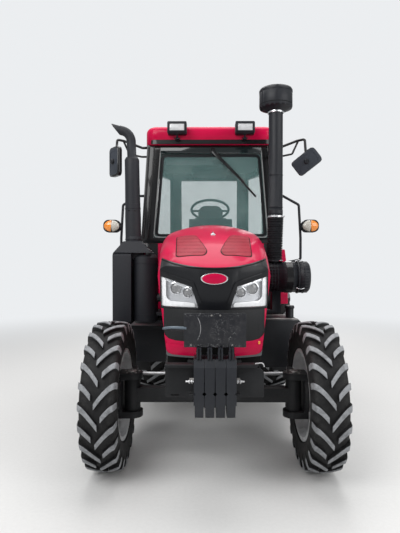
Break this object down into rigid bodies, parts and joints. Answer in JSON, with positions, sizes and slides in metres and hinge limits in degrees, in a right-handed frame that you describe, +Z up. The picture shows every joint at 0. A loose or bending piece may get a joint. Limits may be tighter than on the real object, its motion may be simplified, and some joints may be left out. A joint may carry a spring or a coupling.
{
  "type": "farm tractor",
  "caption": "All-wheel-drive farm tractor with an enclosed cab, opening hood and doors, steered front wheels, front weights, snorkel, guarded exhaust and a rear hitch.",
  "frame": {"origin": "centre of the footprint on the ground", "axes": "-Y is the tractor's forward direction, +X its left side, +Z up"},
  "size_m": [2.018, 3.9219, 2.8803],
  "materials": {
    "red_paint": "gloss red paint",
    "chassis_paint": "satin dark grey paint with dust",
    "weight_iron": "dusty black painted iron",
    "black_paint": "satin black paint",
    "black_plastic": "matt black plastic",
    "mask_plastic": "satin black plastic",
    "radiator_metal": "dull core",
    "lamp_plastic": "clear lens over silver reflectors",
    "lamp_case": "matt black cases",
    "window_glass": "clear, faint green",
    "seat_cloth": "dark cloth",
    "bare_steel": "machined",
    "tyre_rubber": "matt black rubber",
    "rim_paint": "light silver grey paint"
  },
  "bodies": {
    "tractor": {"front_bracket": "chassis_paint", "weight_carrier": "chassis_paint", "front_weights": "weight_iron", "blank_plate": "black_paint", "front_axle_beam": "chassis_paint", "engine_block": "chassis_paint", "radiator": "radiator_metal", "transmission_housing": "chassis_paint", "rear_axle_housing": "chassis_paint", "air_cleaner": "black_plastic", "snorkel": "black_plastic", "exhaust_guard": "black_paint", "muffler": "black_paint", "cab_floor": "chassis_paint", "cab_cowl": "red_paint", "cab_front_frame": "black_paint", "cab_rear_frame": "black_paint", "cab_roof": "red_paint", "cab_glass": "window_glass", "fender_left": "red_paint", "fender_right": "red_paint", "seat": "seat_cloth", "dashboard": "black_plastic", "mirrors": "black_paint", "lamps": "lamp_case", "wiper": "black_paint", "fuel_tank": "black_plastic", "steps_left": "chassis_paint", "steps_right": "chassis_paint"},
    "hood": {"hood_shell": "red_paint", "hood_mask": "mask_plastic", "headlamps": "lamp_plastic", "nose_grille": "black_plastic"},
    "door_left": {"door_left": "black_paint", "door_glass_left": "window_glass"},
    "door_right": {"door_right": "black_paint", "door_glass_right": "window_glass"},
    "knuckle_left": {"knuckle_left": "chassis_paint"},
    "knuckle_right": {"knuckle_right": "chassis_paint"},
    "wheel_front_left": {"tyre_front_left": "tyre_rubber", "rim_front_left": "rim_paint"},
    "wheel_front_right": {"tyre_front_right": "tyre_rubber", "rim_front_right": "rim_paint"},
    "wheel_rear_left": {"tyre_rear_left": "tyre_rubber", "rim_rear_left": "rim_paint"},
    "wheel_rear_right": {"tyre_rear_right": "tyre_rubber", "rim_rear_right": "rim_paint"},
    "steering_rod": {"steering_rod": "bare_steel"},
    "steering_wheel": {"steering_wheel": "black_plastic"},
    "pto_shaft": {"pto_shaft": "bare_steel"},
    "lower_links": {"lower_links": "chassis_paint"},
    "lift_arms": {"lift_arms": "chassis_paint"},
    "lift_rods": {"lift_rods": "chassis_paint"},
    "top_link": {"top_link": "chassis_paint"}
  },
  "joints": [
    {"name": "steer_left", "type": "hinge", "parent": "tractor", "child": "knuckle_left", "pos_m": [0.585, -1.24, 0.525], "axis": [0, 0, 1], "range_deg": [-40, 40]},
    {"name": "steer_right", "type": "hinge", "parent": "tractor", "child": "knuckle_right", "pos_m": [-0.585, -1.24, 0.525], "axis": [0, 0, 1], "range_deg": [-40, 40]},
    {"name": "steering_rod_slide", "type": "slide", "parent": "tractor", "child": "steering_rod", "axis": [1, 0, 0], "range_m": [-0.0965, 0.0965]},
    {"name": "steering_wheel_turn", "type": "hinge", "parent": "tractor", "child": "steering_wheel", "pos_m": [0, 0.35, 2.03], "axis": [0, 0.4226, 0.9063], "range_deg": [-540, 540]},
    {"name": "wheel_spin_front_left", "type": "hinge", "parent": "knuckle_left", "child": "wheel_front_left", "pos_m": [0.7385, -1.24, 0.525], "axis": [1, 0, 0], "continuous": true},
    {"name": "wheel_spin_front_right", "type": "hinge", "parent": "knuckle_right", "child": "wheel_front_right", "pos_m": [-0.7385, -1.24, 0.525], "axis": [1, 0, 0], "continuous": true},
    {"name": "wheel_spin_rear_left", "type": "hinge", "parent": "tractor", "child": "wheel_rear_left", "pos_m": [0.685, 0.96, 0.71], "axis": [1, 0, 0], "continuous": true},
    {"name": "wheel_spin_rear_right", "type": "hinge", "parent": "tractor", "child": "wheel_rear_right", "pos_m": [-0.685, 0.96, 0.71], "axis": [1, 0, 0], "continuous": true},
    {"name": "hood_lift", "type": "hinge", "parent": "tractor", "child": "hood", "pos_m": [0, -0.335, 1.69], "axis": [-1, 0, 0], "range_deg": [0, 50]},
    {"name": "door_left_swing", "type": "hinge", "parent": "tractor", "child": "door_left", "pos_m": [0.682, 0.537, 1.8], "axis": [0, 0, 1], "range_deg": [0, 70]},
    {"name": "door_right_swing", "type": "hinge", "parent": "tractor", "child": "door_right", "pos_m": [-0.682, 0.537, 1.8], "axis": [0, 0, -1], "range_deg": [0, 70]},
    {"name": "pto_spin", "type": "hinge", "parent": "tractor", "child": "pto_shaft", "pos_m": [0, 1.19, 0.64], "axis": [0, 1, 0], "continuous": true},
    {"name": "lift_arm_swing", "type": "hinge", "parent": "tractor", "child": "lift_arms", "pos_m": [0, 1.09, 1.075], "axis": [1, 0, 0], "range_deg": [-10, 34]},
    {"name": "lower_link_swing", "type": "hinge", "parent": "tractor", "child": "lower_links", "pos_m": [0, 1.09, 0.52], "axis": [1, 0, 0], "range_deg": [-7.1, 24]},
    {"name": "lift_rod_swing", "type": "hinge", "parent": "lift_arms", "child": "lift_rods", "pos_m": [0, 1.4, 1.12], "axis": [1, 0, 0], "range_deg": [-31.5, 9.5]},
    {"name": "top_link_swing", "type": "hinge", "parent": "tractor", "child": "top_link", "pos_m": [0, 1.25, 0.86], "axis": [1, 0, 0], "range_deg": [-106, 5]}
  ],
  "couplings": [
    {"joint": "steer_right", "follows": "steer_left", "ratio": 1},
    {"joint": "steering_rod_slide", "follows": "steer_left", "m_per_rad": -0.138},
    {"joint": "steering_wheel_turn", "follows": "steer_left", "ratio": 13.4},
    {"joint": "lower_link_swing", "follows": "lift_arm_swing", "ratio": 0.7},
    {"joint": "lift_rod_swing", "follows": "lift_arm_swing", "ratio": -0.92}
  ]
}
